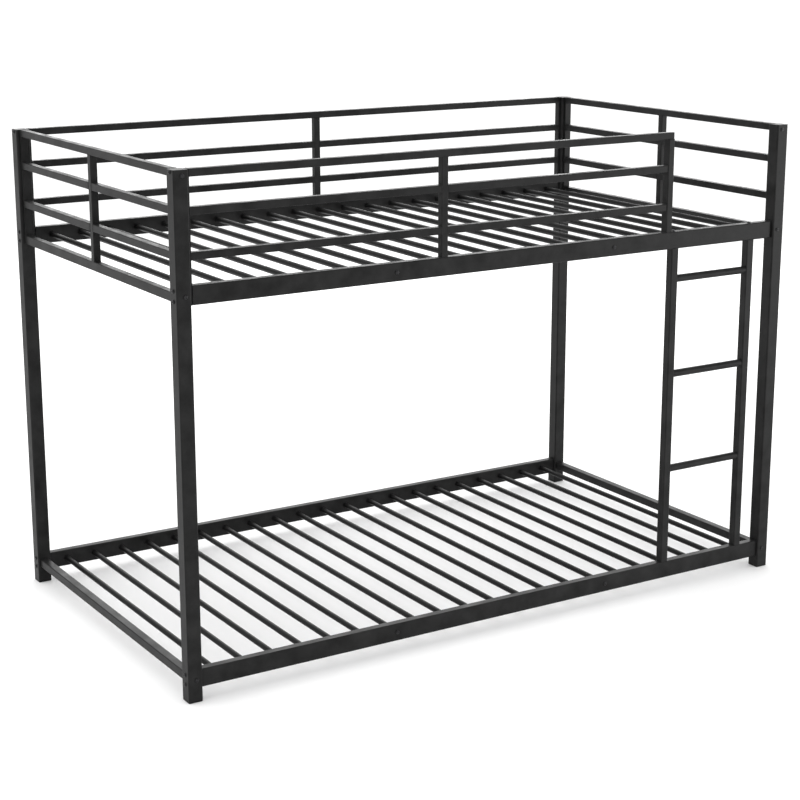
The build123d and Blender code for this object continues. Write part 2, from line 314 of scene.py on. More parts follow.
def start_tree(name: str, sockets: Sequence[tuple[str, str]]) -> tuple[NodeTree, Any]:
    """Start a Geometry Nodes tree with a geometry input and output and named inputs.

    Args:
        name: the tree's name.
        sockets: name and kind of each further input.

    Returns:
        The tree, and the sockets that its inputs come out of.
    """
    tree = bpy.data.node_groups.new(name, "GeometryNodeTree")
    tree.interface.new_socket("Geometry", in_out="INPUT", socket_type="NodeSocketGeometry")
    for label, kind in sockets:
        tree.interface.new_socket(label, in_out="INPUT", socket_type=f"NodeSocket{kind}")
    tree.interface.new_socket("Geometry", in_out="OUTPUT", socket_type="NodeSocketGeometry")
    return tree, add_node(tree, "NodeGroupInput").outputs


def end_tree(tree: NodeTree, geometry: NodeSocket, material: NodeSocket, sharp_over: float) -> None:
    """Smooth the result with sharp edges kept, realise it, give it its finish and put it out.

    Args:
        tree: the Geometry Nodes tree.
        geometry: what the tree has made.
        material: the input that holds the finish.
        sharp_over: edges that turn by more than this angle, in radians, stay sharp.
    """
    real = add_node(tree, "GeometryNodeRealizeInstances", inputs={"Geometry": geometry})
    turn = add_node(tree, "GeometryNodeInputMeshEdgeAngle").outputs["Unsigned Angle"]
    sharp = add_node(tree, "FunctionNodeCompare", {
        "data_type": "FLOAT", "operation": "GREATER_THAN"}, {0: turn, 1: sharp_over})
    smooth = add_node(tree, "GeometryNodeSetShadeSmooth", {"domain": "FACE"},
                      {"Geometry": real.outputs[0], "Shade Smooth": True})
    creased = add_node(tree, "GeometryNodeSetShadeSmooth", {"domain": "EDGE"}, {
        "Geometry": smooth.outputs[0], "Selection": sharp.outputs[0], "Shade Smooth": False})
    painted = add_node(tree, "GeometryNodeSetMaterial", inputs={
        "Geometry": creased.outputs[0], "Material": material})
    add_node(tree, "NodeGroupOutput", inputs={"Geometry": painted.outputs[0]})


# ---------------- finishes


@dataclass
class Recipe:
    """A material in the making: the Principled shader, and patterns on the piece that feed it."""

    name: str
    made: Material = field(init=False)
    tree: NodeTree = field(init=False)
    where: NodeSocket = field(init=False)

    def __post_init__(self) -> None:
        """Start the material, with its patterns placed by the piece's own coordinates."""
        self.made = bpy.data.materials.new(self.name)
        self.made.use_nodes = True
        self.tree = self.made.node_tree
        self.where = add_node(self.tree, "ShaderNodeTexCoord").outputs["Object"]

    def noise(self, feature_mm: float, detail: float, rough: float = 0.5) -> NodeSocket:
        """Cloudy pattern of about that feature size, mostly within NOISE_MIDDLE."""
        return add_node(self.tree, "ShaderNodeTexNoise", inputs={
            "Vector": self.where, "Scale": per_metre(feature_mm), "Detail": detail,
            "Roughness": rough}).outputs["Fac"]

    def tones(
        self, value: NodeSocket, reach: tuple[float, float], first: str, last: str
    ) -> NodeSocket:
        """Colour a pattern: it goes from the first to the last tone over a reach of its values."""
        ramp = add_node(self.tree, "ShaderNodeValToRGB", inputs={"Fac": value})
        for stop, position, tone in zip(ramp.color_ramp.elements, reach, (first, last)):
            stop.position = position
            stop.color = linear(tone)
        return ramp.outputs["Color"]

    def spread(self, value: NodeSocket, reach: tuple[float, float]) -> NodeSocket:
        """Stretch a noise over a range of roughness."""
        return add_node(self.tree, "ShaderNodeMapRange", inputs={
            "Value": value, "From Min": NOISE_MIDDLE[0], "From Max": NOISE_MIDDLE[1],
            "To Min": reach[0], "To Max": reach[1]}).outputs["Result"]

    def bump(self, value: NodeSocket, height_mm: float) -> NodeSocket:
        """Raise a pattern by a height."""
        return add_node(self.tree, "ShaderNodeBump", inputs={
            "Height": value, "Distance": height_mm * MM, "Strength": 1.0}).outputs["Normal"]

    def finished(self, inputs: dict[str, Any]) -> Material:
        """Feed the shader and give the material."""
        feed(self.tree, self.tree.nodes["Principled BSDF"], inputs)
        return self.made


@dataclass(frozen=True)
class PowderCoat:
    """Epoxy-polyester powder baked on steel tube: satin black with a faint orange peel."""

    name: str = "powder_coat_satin_black"
    deep: str = "#121212"
    thin: str = "#262626"
    tone_reach: tuple[float, float] = (0.45, 0.9)
    roughness: tuple[float, float] = (0.34, 0.5)
    ior: float = 1.5
    specular: float = 0.125
    drift_mm: float = 55.0
    grit_mm: float = 0.9
    grit_share: float = 0.35
    peel_mm: float = 3.2
    peel_height_mm: float = 0.12

    def material(self) -> Material:
        """Build the coat: a fine bump breaks highlights up, and the sheen drifts slowly."""
        recipe = Recipe(self.name)
        # Film thickness drifts over a hand's width, which shows as a slow change of tone and sheen
        drift = recipe.noise(self.drift_mm, detail=3.0, rough=0.55)
        # Pigment and matting agent clump in fine specks, drawn near a millimetre so that they show
        grit = recipe.noise(self.grit_mm, detail=1.0)
        # Orange peel: the melted powder freezes in shallow dimples two or three millimetres apart,
        # drawn a little wider, which softens the edges of a reflection
        peel = recipe.noise(self.peel_mm, detail=2.0, rough=0.4)
        tone = maths(recipe.tree, "MULTIPLY_ADD", grit, self.grit_share, drift)
        return recipe.finished({
            "Base Color": recipe.tones(tone, self.tone_reach, self.deep, self.thin),
            "Roughness": recipe.spread(drift, self.roughness),
            "Normal": recipe.bump(peel, self.peel_height_mm),
            "IOR": self.ior,
            "Specular IOR Level": self.specular,
        })


@dataclass(frozen=True)
class MouldedPolyethylene:
    """Injection-moulded polyethylene plugs: matt black with a spark-eroded grain."""

    name: str = "moulded_polyethylene_black"
    dark: str = "#080808"
    light: str = "#131313"
    tone_reach: tuple[float, float] = (0.35, 0.7)
    roughness: float = 0.45
    ior: float = 1.51
    specular: float = 0.3
    grain_mm: float = 0.8
    grain_height_mm: float = 0.03

    def material(self) -> Material:
        """Build the plastic: the even matt grain of a spark-eroded mould."""
        recipe = Recipe(self.name)
        # The mould's pits are a tenth of a millimetre wide. They are drawn far coarser, so that the
        # plugs look grainy and flat beside the smoother sheen of the coated tubes
        grain = recipe.noise(self.grain_mm, detail=2.0)
        return recipe.finished({
            "Base Color": recipe.tones(grain, self.tone_reach, self.dark, self.light),
            "Roughness": self.roughness,
            "Normal": recipe.bump(grain, self.grain_height_mm),
            "IOR": self.ior,
            "Specular IOR Level": self.specular,
        })


@dataclass(frozen=True)
class BlackOxideSteel:
    """Machine screws in black oxide: dark metal with a faint oily sheen."""

    name: str = "black_oxide_steel"
    dark: str = "#29292a"
    light: str = "#434344"
    tone_reach: tuple[float, float] = (0.3, 0.75)
    roughness: tuple[float, float] = (0.22, 0.36)
    grain_mm: float = 1.2

    def material(self) -> Material:
        """Build the screw finish: a dark metal with a mottled sheen."""
        recipe = Recipe(self.name)
        # The oil that the oxide holds dries in fine patches. They are drawn over a millimetre wide,
        # so that a screw's small head glints unevenly
        mottle = recipe.noise(self.grain_mm, detail=3.0)
        return recipe.finished({
            "Base Color": recipe.tones(mottle, self.tone_reach, self.dark, self.light),
            "Roughness": recipe.spread(mottle, self.roughness),
            "Metallic": 1.0,
        })


@dataclass(frozen=True)
class ZincPlate:
    """Bright zinc-plated steel for the threaded blocks inside the tubes."""

    name: str = "zinc_plated_steel"
    blue: str = "#9ea4ab"
    pale: str = "#b9bcc0"
    tone_reach: tuple[float, float] = (0.0, 0.8)
    roughness: float = 0.32
    patch_mm: float = 3.0

    def material(self) -> Material:
        """Build the plating: a pale metal in patches of slightly different tone."""
        recipe = Recipe(self.name)
        # Passivating tints the plate blue where its film is thicker. The patches are drawn coarser
        # than real ones, so that they show on these small blocks
        patches = add_node(recipe.tree, "ShaderNodeTexVoronoi", inputs={
            "Vector": recipe.where, "Scale": per_metre(self.patch_mm)})
        return recipe.finished({
            "Base Color": recipe.tones(
                patches.outputs["Distance"], self.tone_reach, self.blue, self.pale),
            "Roughness": self.roughness,
            "Metallic": 1.0,
        })


@dataclass(frozen=True)
class StudioFloor:
    """Matt white painted floor."""

    name: str = "matt_white_floor_paint"
    pale: str = "#fbfbfb"
    shade: str = "#f8f8f8"
    roughness: float = 0.9
    specular: float = 0.2
    drift_mm: float = 700.0

    def material(self) -> Material:
        """Build the floor paint: a matt white that drifts very slowly, as rolled paint does."""
        recipe = Recipe(self.name)
        # Sockets 6 and 7 are the mix node's two colours, and output 2 is the mixed one
        drift = recipe.noise(self.drift_mm, detail=2.0)
        colour = add_node(recipe.tree, "ShaderNodeMix", {"data_type": "RGBA"}, {
            "Factor": drift, 6: linear(self.pale), 7: linear(self.shade)})
        return recipe.finished({
            "Base Color": colour.outputs[2],
            "Roughness": self.roughness,
            "Specular IOR Level": self.specular,
        })


@dataclass
class Finishes:
    """The finishes, each built once."""

    coat: Material = field(default_factory=PowderCoat().material)
    # The slats' coat is the frame's coat made darker and a little less shiny: painted shade
    slat_coat_painted_shade: Material = field(default_factory=PowderCoat(
        "powder_coat_satin_black_slats", deep="#0a0a0a", thin="#181818", specular=0.11).material)
    plastic: Material = field(default_factory=MouldedPolyethylene().material)
    screw: Material = field(default_factory=BlackOxideSteel().material)
    zinc: Material = field(default_factory=ZincPlate().material)
    floor: Material = field(default_factory=StudioFloor().material)


# ---------------- round tubes


def round_tube_tree() -> NodeTree:
    """Tree that lays a round tube on every point, as long as the point says.

    Returns:
        A tree with inputs for the tube's diameter, wall, facets, direction and finish.
    """
    tree, put = start_tree("round_tubes", [
        ("Diameter", "Float"), ("Wall", "Float"), ("Facets", "Int"), ("Direction", "Vector"),
        ("Material", "Material")])
    outer = maths(tree, "MULTIPLY", put["Diameter"], 0.5)
    middle = maths(tree, "MULTIPLY_ADD", put["Wall"], -0.5, outer)
    ring = add_node(tree, "GeometryNodeCurvePrimitiveCircle", {"mode": "RADIUS"},
                    {"Resolution": put["Facets"], "Radius": middle})
    cut = add_node(tree, "GeometryNodeCurvePrimitiveQuadrilateral", {"mode": "RECTANGLE"},
                   {0: put["Wall"], 1: 1.0})
    tube = add_node(tree, "GeometryNodeCurveToMesh", inputs={
        "Curve": ring.outputs[0], "Profile Curve": cut.outputs[0]})
    long = stored(tree, "long", "FLOAT")
    scale = add_node(tree, "ShaderNodeCombineXYZ", inputs={"X": 1.0, "Y": 1.0, "Z": long})
    turn = add_node(tree, "FunctionNodeAlignRotationToVector", {"axis": "Z"},
                    {"Vector": put["Direction"]})
    laid = add_node(tree, "GeometryNodeInstanceOnPoints", inputs={
        "Points": put["Geometry"], "Instance": tube.outputs[0],
        "Rotation": turn.outputs[0], "Scale": scale.outputs[0]})
    end_tree(tree, laid.outputs[0], put["Material"], TUBE_CREASE)
    return tree


# ---------------- weld beads


def rounded_outline(
    centre: Vector, along: Along, sides: tuple[float, float], corner: float, steps: int = 5
) -> list[Vector]:
    """Closed outline of a rounded oblong, square to an axis.

    Args:
        centre: middle of the outline.
        along: the axis that it is square to.
        sides: its two sides, in the order of the axes that follow `along`.
        corner: corner radius.
        steps: points round each corner.

    Returns:
        The outline's points, in order.
    """
    across, up = (along.value + 1) % 3, (along.value + 2) % 3
    reach = [side / 2 - corner for side in sides]
    points = []
    for quarter, (sign_a, sign_b) in enumerate(((1, 1), (-1, 1), (-1, -1), (1, -1))):
        for step in range(steps):
            angle = math.pi / 2 * (quarter + step / (steps - 1))
            point = centre.copy()
            point[across] += sign_a * reach[0] + corner * math.cos(angle)
            point[up] += sign_b * reach[1] + corner * math.sin(angle)
            points.append(point)
    return points


def weld_bead_tree() -> NodeTree:
    """Tree that runs a rippled bead along every closed line.

    Returns:
        A tree with inputs for the bead's radius, its ripple and its finish.
    """
    samples_per_ripple = 4
    unevenness = 0.6
    tree, put = start_tree("weld_beads", [
        ("Bead Radius", "Float"), ("Ripple Pitch", "Float"), ("Ripple Depth", "Float"),
        ("Sides", "Int"), ("Seed", "Int"), ("Material", "Material")])
    line = add_node(tree, "GeometryNodeMeshToCurve", inputs={"Mesh": put["Geometry"]})
    step = maths(tree, "MULTIPLY", put["Ripple Pitch"], 1 / samples_per_ripple)
    even = add_node(tree, "GeometryNodeResampleCurve", {"mode": "LENGTH"},
                    {"Curve": line.outputs[0], "Length": step})
    gone = add_node(tree, "GeometryNodeSplineParameter").outputs["Length"]
    turns = maths(tree, "DIVIDE", gone, put["Ripple Pitch"])
    wave = maths(tree, "SINE", maths(tree, "MULTIPLY", turns, math.tau))
    hand = drawn_number(tree, -unevenness, unevenness, put["Seed"])
    swell = maths(tree, "MULTIPLY_ADD", maths(tree, "ADD", wave, hand), put["Ripple Depth"], 1.0)
    round_side = add_node(tree, "GeometryNodeCurvePrimitiveCircle", {"mode": "RADIUS"},
                          {"Resolution": put["Sides"], "Radius": put["Bead Radius"]})
    bead = add_node(tree, "GeometryNodeCurveToMesh", inputs={
        "Curve": even.outputs[0], "Profile Curve": round_side.outputs[0], "Scale": swell})
    end_tree(tree, bead.outputs[0], put["Material"], BEAD_CREASE)
    return tree


@dataclass(frozen=True)
class Welds:
    """Small MIG beads round the tube ends, under the same powder as the tubes.

    Each drop that freezes leaves a ripple. They are drawn wider apart than real ones, to show.
    """

    bead_radius: float = 1.4 * MM
    inset: float = 0.7 * MM
    ripple_pitch: float = 1.9 * MM
    ripple_depth: float = 0.07
    sides: int = 8
    seed: int = 11

    def at_ends(self, solid: Solid, ends: Iterable[int], corner: float) -> list[list[Vector]]:
        """Outlines of the beads round a straight tube's ends.

        Args:
            solid: the tube.
            ends: -1 for its low end, 1 for its high end.
            corner: the tube's corner radius.

        Returns:
            One closed outline for each end.
        """
        axis = solid.along.value
        sides = tuple(solid.size[(axis + k) % 3] - 2 * self.inset for k in (1, 2))
        loops = []
        for end in ends:
            centre = solid.centre.copy()
            centre[axis] = solid.high[axis] if end > 0 else solid.low[axis]
            loops.append(rounded_outline(centre, solid.along, sides, corner - self.inset))
        return loops


# ---------------- lathed and lofted pieces


def loft(rings: Sequence[Sequence[Vector]], name: str) -> Mesh:
    """Skin a run of rings with quads and close both ends.

    Args:
        rings: rings of the same number of points, from one closed end to the other.
        name: name for the mesh.

    Returns:
        A closed mesh with its faces outwards.
    """
    work = bmesh.new()
    rows = [[work.verts.new(p) for p in ring] for ring in rings]
    count = len(rows[0])
    for below, above in zip(rows, rows[1:]):
        for k in range(count):
            following = (k + 1) % count
            work.faces.new((below[k], below[following], above[following], above[k]))
    work.faces.new(list(reversed(rows[0])))
    work.faces.new(rows[-1])
    bmesh.ops.recalc_face_normals(work, faces=work.faces)
    for face in work.faces:
        face.smooth = True
    for edge in work.edges:
        if len(edge.link_faces) == 2 and edge.calc_face_angle(0.0) > LATHE_CREASE:
            edge.smooth = False
    mesh = bpy.data.meshes.new(name)
    work.to_mesh(mesh)
    work.free()
    return mesh


def joined(meshes: Sequence[Mesh], name: str) -> Mesh:
    """Join several meshes into one.

    Args:
        meshes: the meshes, which are removed afterwards.
        name: name for the result.

    Returns:
        The joined mesh.
    """
    work = bmesh.new()
    for mesh in meshes:
        work.from_mesh(mesh)
    whole = bpy.data.meshes.new(name)
    work.to_mesh(whole)
    work.free()
    for mesh in meshes:
        bpy.data.meshes.remove(mesh)
    return whole


@dataclass(frozen=True)
class ScrewShape:
    """Button-head screw with a hexagon socket and a threaded shank, pointing along -Z.

    The socket's floor is a drilled cone, which ends in a tip too small to see. The dome rises from
    the head's rim to a flat land round the socket. Thread roots, crests and the point are shares of
    the shank's radius.
    """

    head_radius: float
    head_thick: float
    shank_radius: float
    shank_long: float
    socket_half: float = 2.0 * MM
    socket_deep: float = 1.7 * MM
    socket_cone: float = 0.5 * MM
    socket_tip: float = 0.3 * MM
    mouth_bevel: float = 0.15 * MM
    land_share: float = 0.58
    rim: float = 0.6 * MM
    dome_steps: int = 6
    under_bevel: tuple[float, float] = (0.2 * MM, 0.1 * MM)
    thread_pitch: float = 1.0 * MM
    threaded: float = 16.0 * MM
    most_threaded: float = 0.8
    root: float = 0.86
    crest: float = 0.98
    point: float = 0.8
    around: int = 36

    def circle(self, radius: float, z: float) -> list[Vector]:
        """Ring of the lathe at a radius and height."""
        turns = [math.tau * k / self.around for k in range(self.around)]
        return [Vector((radius * math.cos(t), radius * math.sin(t), z)) for t in turns]

    def hexagon(self, half: float, z: float) -> list[Vector]:
        """Ring that follows a hexagon, half its width across flats, at a height."""
        ring = []
        for k in range(self.around):
            turn = math.tau * k / self.around
            off_flat = (turn + math.pi / 6) % (math.pi / 3) - math.pi / 6
            radius = half / math.cos(off_flat)
            ring.append(Vector((radius * math.cos(turn), radius * math.sin(turn), z)))
        return ring

    def mesh(self, name: str) -> Mesh:
        """Turn the screw on a lathe, socket included.

        Args:
            name: name for the mesh.

        Returns:
            The screw's closed mesh.
        """
        top = self.head_thick
        rings = [self.circle(self.socket_tip, top - self.socket_deep - self.socket_cone),
                 self.hexagon(self.socket_half, top - self.socket_deep),
                 self.hexagon(self.socket_half, top - self.mouth_bevel),
                 self.hexagon(self.socket_half + self.mouth_bevel, top)]
        land = self.head_radius * self.land_share
        for step in range(self.dome_steps + 1):
            lean = math.pi / 2 * step / self.dome_steps
            radius = land + (self.head_radius - land) * math.sin(lean)
            rings.append(self.circle(radius, self.rim + (top - self.rim) * math.cos(lean)))
        inwards, upwards = self.under_bevel
        rings.append(self.circle(self.head_radius, upwards))
        rings.append(self.circle(self.head_radius - inwards, 0.0))
        rings.append(self.circle(self.shank_radius, 0.0))
        turns = int(min(self.threaded, self.shank_long * self.most_threaded) / self.thread_pitch)
        start = -self.shank_long + turns * self.thread_pitch
        rings.append(self.circle(self.shank_radius, start))
        for turn in range(turns):
            z = start - turn * self.thread_pitch
            outer = self.crest if turn < turns - 1 else self.point
            rings.append(self.circle(self.shank_radius * self.root, z - self.thread_pitch / 2))
            rings.append(self.circle(self.shank_radius * outer, z - self.thread_pitch))
        return loft(rings, name)


def screw_tree() -> NodeTree:
    """Tree that sets a screw on every point, aimed as the point says and turned at random.

    Returns:
        A tree with inputs for the screw, the seed of its turns and its finish.
    """
    tree, put = start_tree("set_screws", [
        ("Screw", "Object"), ("Seed", "Int"), ("Material", "Material")])
    screw = add_node(tree, "GeometryNodeObjectInfo", {"transform_space": "ORIGINAL"},
                     {"Object": put["Screw"]})
    spin = drawn_number(tree, 0.0, math.tau, put["Seed"])
    spin_vector = add_node(tree, "ShaderNodeCombineXYZ", inputs={"Z": spin})
    turned = add_node(tree, "FunctionNodeEulerToRotation", inputs={0: spin_vector.outputs[0]})
    aimed = add_node(tree, "FunctionNodeAlignRotationToVector", {"axis": "Z"},
                     {"Rotation": turned.outputs[0], "Vector": stored(tree, "aim", "FLOAT_VECTOR")})
    placed = add_node(tree, "GeometryNodeInstanceOnPoints", inputs={
        "Points": put["Geometry"], "Instance": screw.outputs["Geometry"],
        "Rotation": aimed.outputs[0]})
    end_tree(tree, placed.outputs[0], put["Material"], LATHE_CREASE)
    return tree


Ring = Callable[[float, float, float], list[Vector]]


def plug_edge(
    ring: Ring, half: float, crown: float, edge: float, corner: float, flange: float, seam: float
) -> list[list[Vector]]:
    """Rings of a moulded plug's rounded edge and of its flange's side.

    Args:
        ring: makes a ring from half its side, its depth below the face and its corner radius.
        half: half the flange's side.
        crown: how far the face has fallen where the rounded edge starts.
        edge: radius of the rounded edge.
        corner: corner radius of the flange.
        flange: depth of the flange.
        seam: how far its inner edge is broken.

    Returns:
        The rings, from the face inwards.
    """
    steps = 4
    rings = []
    for step in range(steps + 1):
        lean = math.pi / 2 * step / steps
        inset = edge * (1 - math.sin(lean))
        rings.append(ring(half - inset, crown + edge * (1 - math.cos(lean)), corner - inset))
    # The flange's inner edge is broken, so a fine dark line shows where it meets the tube
    rings.append(ring(half, flange - seam, corner))
    rings.append(ring(half - seam, flange, corner - seam))
    return rings


def seat_and_aim(solid: Solid, head_thick: float) -> tuple[Vector, Vector]:
    """Find where a CAD bolt's head sits and which way it faces.

    Args:
        solid: the bolt.
        head_thick: thickness of its head.

    Returns:
        The middle of the head's seat, and the direction from the seat out through the head.
    """
    axis = solid.along.value
    spread = {}
    for end in (-1, 1):
        tip = solid.high[axis] if end > 0 else solid.low[axis]
        near = [p for p in solid.points if abs(p[axis] - tip) <= head_thick + CAD_SLACK]
        spread[end] = max((p - solid.centre)[(axis + 1) % 3] for p in near)
    way = max(spread, key=lambda end: spread[end])
    aim = Vector([float(way) if k == axis else 0.0 for k in range(3)])
    seat = solid.centre.copy()
    seat[axis] = (solid.high[axis] if way > 0 else solid.low[axis]) - way * head_thick
    return seat, aim


# ---------------- sub-assemblies


@dataclass
class Workshop:
    """What every sub-assembly shares: the finishes and the Geometry Nodes trees."""

    finishes: Finishes = field(default_factory=Finishes)
    tubes: NodeTree = field(default_factory=round_tube_tree)
    beads: NodeTree = field(default_factory=weld_bead_tree)
    screws: NodeTree = field(default_factory=screw_tree)
    welds: Welds = field(default_factory=Welds)

    def coat_tubes(self, nodes: Iterable[str]) -> None:
        """Powder-coat CAD tubes and strips."""
        for node in nodes:
            dress(node, self.finishes.coat, Slot.STEEL)

    def add_round_tubes(
        self, node: str, name: str, wall: float, facets: int, coat: Material
    ) -> None:
        """Put smooth round tubes in place of a CAD node's, all alike in diameter and direction.

        Args:
            node: the CAD node.
            name: name for the new piece.
            wall: wall thickness in metres.
            facets: sides round the tube.
            coat: the finish.
        """
        solids = solids_of(node)
        along = solids[0].along.value
        direction = Vector([1.0 if k == along else 0.0 for k in range(3)])
        diameter = solids[0].size[(along + 1) % 3]
        lengths = [s.size[along] for s in solids]
        mesh = grow(node, [s.centre for s in solids], [], self.tubes, {
            "Diameter": diameter, "Wall": wall, "Facets": facets, "Direction": direction,
            "Material": coat}, {"long": ("FLOAT", lengths)})
        new_piece(mesh, name, coat, Slot.STEEL, [node])

    def lay_beads(self, name: str, loops: Sequence[Sequence[Vector]]) -> None:
        """Lay weld beads on closed outlines, as one coated piece.

        Args:
            name: name of what is welded.
            loops: the outlines.
        """
        points: list[Vector] = []
        edges: list[tuple[int, int]] = []
        for loop in loops:
            first = len(points)
            points.extend(loop)
            edges.extend((first + k, first + (k + 1) % len(loop)) for k in range(len(loop)))
        weld, coat = self.welds, self.finishes.coat
        mesh = grow(f"{name}_beads", points, edges, self.beads, {
            "Bead Radius": weld.bead_radius, "Ripple Pitch": weld.ripple_pitch,
            "Ripple Depth": weld.ripple_depth, "Sides": weld.sides, "Seed": weld.seed,
            "Material": coat})
        new_piece(mesh, f"{name}_weld_beads", coat, Slot.STEEL)

    def add_plugs(self, mesh: Mesh, node: str) -> None:
        """Put moulded plugs in place of a CAD node's."""
        new_piece(mesh, f"{node}_moulded", self.finishes.plastic, Slot.PLASTIC, [node])


@dataclass
class CornerPosts:
    """Four plain square posts with moulded caps and feet.

    A plug's face falls away slowly from its middle to its rounded edge. Its shank is a shallow cup
    with a bevelled rim, which clears the post's wall.
    """

    shop: Workshop
    edge_round: float = 0.9 * MM
    most_round: float = 0.6
    crown: float = 0.35 * MM
    corner: float = 4.0 * MM
    wall: float = 1.5 * MM
    clearance: float = 0.1 * MM
    shank_wall: float = 2.5 * MM
    shank_bevel: float = 0.6 * MM
    cup_corner: float = 1.0 * MM
    cup_floor: float = 0.8 * MM
    cup_dip: float = 0.2 * MM
    seam: float = 0.4 * MM
    nodes: tuple[str, ...] = (
        "front_left_post", "front_right_post", "back_left_post", "back_right_post")

    def plug(self, solid: Solid, flange: float, way: int, name: str) -> Mesh:
        """Loft one plug: a rounded flange that shows and a cup inside the post.

        Args:
            solid: the CAD plug, whose box gives place and size.
            flange: thickness of the flange.
            way: 1 if the plug's face looks up, -1 if it looks down.
            name: name for the mesh.

        Returns:
            The plug's closed mesh.
        """
        half = solid.size.x / 2
        face_z = solid.high.z if way > 0 else solid.low.z
        inner_z = solid.low.z if way > 0 else solid.high.z
        long = abs(face_z - inner_z)
        bore = half - self.wall - self.clearance
        shank_corner = self.corner - self.wall
        hollow = bore - self.shank_wall

        def ring(half_side: float, depth: float, corner: float) -> list[Vector]:
            middle = Vector((solid.centre.x, solid.centre.y, face_z - way * depth))
            sides = (2 * half_side, 2 * half_side)
            return rounded_outline(middle, Along.Z, sides, corner, PLUG_CORNER_STEPS)

        edge = min(self.edge_round, flange * self.most_round)
        # Shares of the half side, of the crown and of the corner, from the middle outwards
        face = [ring(half * 0.25, 0.0, self.corner * 0.25),
                ring(half * 0.6, self.crown * 0.25, self.corner * 0.5),
                ring(half - edge * 2.5, self.crown * 0.6, self.corner - edge)]
        shank = [ring(bore, flange, shank_corner),
                 ring(bore, long - self.shank_bevel, shank_corner),
                 ring(bore - self.shank_bevel, long, shank_corner)]
        cup = [ring(hollow, long, self.cup_corner),
               ring(hollow, flange + self.cup_floor, self.cup_corner),
               ring(hollow * 0.3, flange + self.cup_floor - self.cup_dip, self.cup_corner / 2)]
        side = plug_edge(ring, half, self.crown, edge, self.corner, flange, self.seam)
        return loft([*face, *side, *shank, *cup], name)

    def build(self) -> None:
        """Dress the posts and make their caps and feet."""
        self.shop.coat_tubes(self.nodes)
        post_low, post_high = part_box(self.nodes[0])
        for node, way in (("post_caps", 1), ("post_feet", -1)):
            plugs = []
            for number, solid in enumerate(solids_of(node)):
                flange = solid.high.z - post_high.z if way > 0 else post_low.z - solid.low.z
                plugs.append(self.plug(solid, flange, way, f"{node}_{number}"))
            self.shop.add_plugs(joined(plugs, node), node)


@dataclass
class Deck:
    """One sleeping deck: two side rails and a row of round slats, tied at two of them."""

    shop: Workshop
    level: str
    slat_wall: float = 0.8 * MM
    facets: int = 32

    def build(self) -> None:
        """Dress the rails and make the slats."""
        self.shop.coat_tubes(f"{self.level}_{side}_side_rail" for side in ("front", "back"))
        # The slats take a copy of the frame's coat made darker and a little less shiny, which
        # paints shade on them; the real slats wear the same coat as the frame
        coat = self.shop.finishes.slat_coat_painted_shade
        name = f"{self.level}_slat_row"
        self.shop.add_round_tubes(f"{self.level}_slats", name, self.slat_wall, self.facets, coat)


@dataclass
class LowerEndRails:
    """The two square rails between the posts at the ends of the lower deck."""

    shop: Workshop

    def build(self) -> None:
        """Dress the rails."""
        self.shop.coat_tubes(f"lower_{end}_end_rail" for end in ("left", "right"))


@dataclass
class GuardPanel:
    """A welded panel of square rails and uprights between flat strips."""

    shop: Workshop
    name: str
    rails: tuple[str, ...]
    uprights: tuple[str, ...]
    strips: tuple[str, ...]
    free_top_end: int = 0
    corner: float = 2.0 * MM

    def build(self) -> None:
        """Dress the tubes and strips and lay the weld beads."""
        self.shop.coat_tubes((*self.rails, *self.uprights, *self.strips))
        loops = []
        for node in (*self.rails, *self.uprights):
            free = self.free_top_end if node.endswith("top_rail") else 0
            ends = [end for end in (-1, 1) if end != free]
            for solid in solids_of(node):
                loops.extend(self.shop.welds.at_ends(solid, ends, self.corner))
        self.shop.lay_beads(self.name, loops)


@dataclass
class Ladder:
    """Straight ladder: two square stiles and three round rungs welded between them."""

    shop: Workshop
    rungs: tuple[str, ...] = ("ladder_rung_1", "ladder_rung_2", "ladder_rung_3")
    stiles: tuple[str, ...] = ("ladder_left_stile", "ladder_right_stile")
    rung_wall: float = 1.2 * MM
    facets: int = 40
    hair: float = 0.01 * MM

    def build(self) -> None:
        """Dress the stiles, make the rungs and lay their weld beads."""
        self.shop.coat_tubes(self.stiles)
        coat = self.shop.finishes.coat
        loops = []
        for number, node in enumerate(self.rungs, start=1):
            name = f"ladder_round_rung_{number}"
            self.shop.add_round_tubes(node, name, self.rung_wall, self.facets, coat)
            # A hair short of a full circle, so that no two points of the outline fall together
            rung = solids_of(node)[0]
            corner = rung.size.y / 2 - self.hair
            loops.extend(self.shop.welds.at_ends(rung, (-1, 1), corner))
        self.shop.lay_beads("ladder", loops)


@dataclass
class EndPlug:
    """Moulded plug in the free end of the front guard's top rail."""

    shop: Workshop
    node: str = "front_guard_end_plug"
    flange: float = 1.5 * MM
    edge_round: float = 0.6 * MM
    crown: float = 0.2 * MM
    corner: float = 2.0 * MM
    wall: float = 1.1 * MM
    shank_bevel: float = 0.5 * MM
    seam: float = 0.3 * MM

    def build(self) -> None:
        """Loft the plug: a slightly crowned face, a flange and a shank inside the rail."""
        low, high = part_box(self.node)
        centre = (low + high) / 2
        half = (high.z - low.z) / 2
        long = high.x - low.x
        bore = half - self.wall
        shank_corner = self.corner - self.wall

        def ring(half_side: float, depth: float, corner: float) -> list[Vector]:
            middle = Vector((high.x - depth, centre.y, centre.z))
            sides = (2 * half_side, 2 * half_side)
            return rounded_outline(middle, Along.X, sides, corner, PLUG_CORNER_STEPS)

        # Shares of the half side, of the crown and of the corner, from the middle outwards
        face = [ring(half * 0.3, 0.0, self.corner * 0.4),
                ring(half - self.edge_round * 2, self.crown * 0.75, self.corner * 0.6)]
        shank = [ring(bore, self.flange, shank_corner),
                 ring(bore, long - self.shank_bevel, shank_corner),
                 ring(bore - self.shank_bevel, long, self.corner * 0.25),
                 ring(half * 0.3, long, self.corner * 0.2)]
        side = plug_edge(
            ring, half, self.crown, self.edge_round, self.corner, self.flange, self.seam)
        self.shop.add_plugs(loft([*face, *side, *shank], self.node), self.node)


